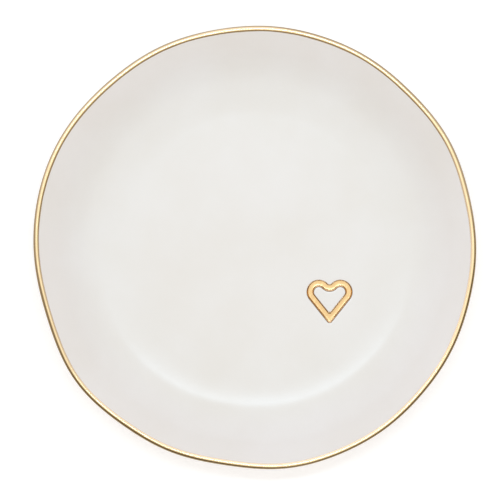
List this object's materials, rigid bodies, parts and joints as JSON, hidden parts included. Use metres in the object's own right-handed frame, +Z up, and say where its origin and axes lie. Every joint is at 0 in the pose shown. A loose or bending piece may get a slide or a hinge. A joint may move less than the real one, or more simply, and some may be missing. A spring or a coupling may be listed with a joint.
{
  "type": "ring dish",
  "caption": "Shallow round ceramic dish for rings and small jewellery: white glaze, softly wandering hand-formed outline, gilded lip and a small gilded heart stamped in the floor.",
  "frame": {"origin": "on the table under the middle of the dish: centre of the foot ring's resting face", "axes": "+Z up; -Y is the side that faces the person using it, so the stamped heart lies to the right and front, upright as they look at it"},
  "size_m": [0.1078, 0.1079, 0.0155],
  "materials": {
    "bisque": "matte",
    "glaze": "gloss",
    "gold": "polished"
  },
  "bodies": {
    "root": {"clay_body": "bisque", "foot_ring": "bisque", "well_glaze": "glaze", "outer_glaze": "glaze", "base_glaze": "glaze", "gold_rim": "gold", "gold_heart": "gold"}
  },
  "joints": []
}
